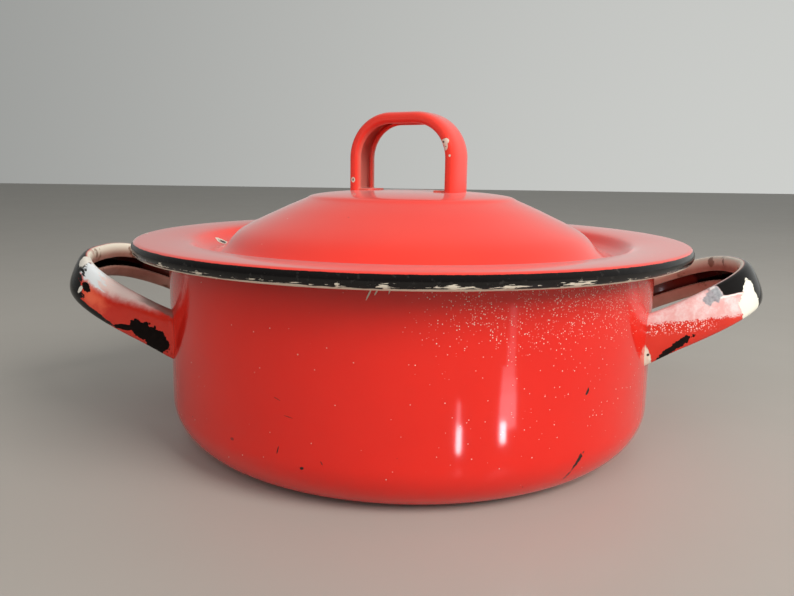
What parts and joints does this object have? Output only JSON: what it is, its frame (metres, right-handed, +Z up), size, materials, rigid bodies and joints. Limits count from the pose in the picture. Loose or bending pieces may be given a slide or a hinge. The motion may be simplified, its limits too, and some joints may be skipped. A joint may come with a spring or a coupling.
{
  "type": "casserole pot with lid",
  "caption": "Round enamelled steel pot with two strap side handles, standing under a lift-off domed lid that has a strap handle.",
  "frame": {"origin": "centre of the base, on the plane that the pot stands on", "axes": "+Z up along the pot's own axis, +X out through the middle of the right side handle, -Y towards the viewer"},
  "size_m": [0.2347, 0.1864, 0.109],
  "materials": {
    "pot_enamel": "gloss vitreous enamel on steel, chipped along the rim",
    "lid_enamel": "gloss vitreous enamel on steel, black on the rolled edge",
    "lid_handle_enamel": "gloss vitreous enamel on steel, small chips",
    "side_handle_enamel": "worn vitreous enamel on steel, black at the end, ground coat showing"
  },
  "bodies": {
    "pot": {"pot_shell": "pot_enamel", "right_side_handle": "side_handle_enamel", "left_side_handle": "side_handle_enamel"},
    "lid": {"lid_shell": "lid_enamel", "lid_handle": "lid_handle_enamel"}
  },
  "joints": [
    {"name": "lid_lift", "type": "slide", "parent": "pot", "child": "lid", "axis": [0, 0, 1], "range_m": [0, 0.12]}
  ]
}
